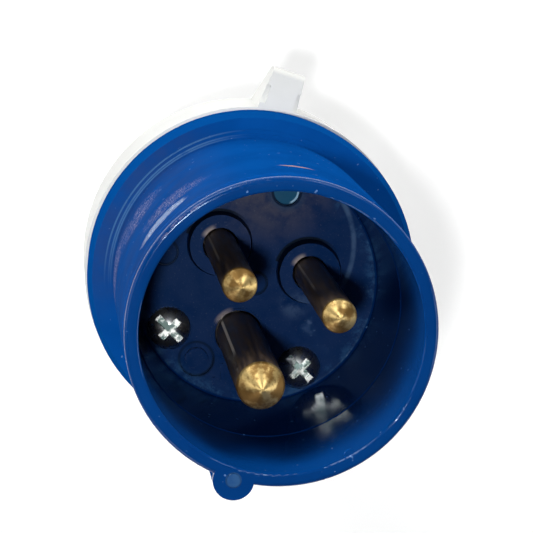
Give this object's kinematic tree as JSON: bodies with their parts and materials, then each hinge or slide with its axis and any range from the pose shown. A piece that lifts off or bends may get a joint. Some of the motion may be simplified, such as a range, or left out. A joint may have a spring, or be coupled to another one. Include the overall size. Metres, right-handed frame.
{
  "type": "industrial plug",
  "caption": "Industrial plug with round brass pins inside a keyed blue shroud, a flange, a light grey rear housing with a latch tab, and a cable gland.",
  "frame": {"origin": "on the plug's axis, in the rear face of the gland nut, at the cable entry", "axes": "+Z along the axis towards the pins; +Y towards 12 o'clock, the side of the latch tab; the key rib is at -Y; +X to the right as the pins are looked at"},
  "size_m": [0.0536, 0.0595, 0.126],
  "materials": {
    "blue_plastic": "moulded, half gloss",
    "grey_plastic": "moulded, fine matt",
    "black_plastic": "moulded, matt",
    "white_plastic": "moulded, matt",
    "brass": "turned",
    "zinc_steel": "zinc plated",
    "rubber": "moulded"
  },
  "bodies": {
    "root": {"front_housing": "blue_plastic", "rear_housing": "grey_plastic", "housing_gasket": "rubber", "contact_holder": "black_plastic", "holder_screw": "zinc_steel", "gland_seal": "rubber", "gland_washer": "white_plastic", "gland_cage": "white_plastic", "gland_nut": "grey_plastic", "line_pin": "brass", "neutral_pin": "brass", "earth_pin": "brass", "line_terminal_screw": "zinc_steel", "neutral_terminal_screw": "zinc_steel", "earth_terminal_screw": "zinc_steel", "housing_screw_left": "zinc_steel", "housing_screw_right": "zinc_steel", "screw_insert_left": "brass", "screw_insert_right": "brass"}
  },
  "joints": []
}
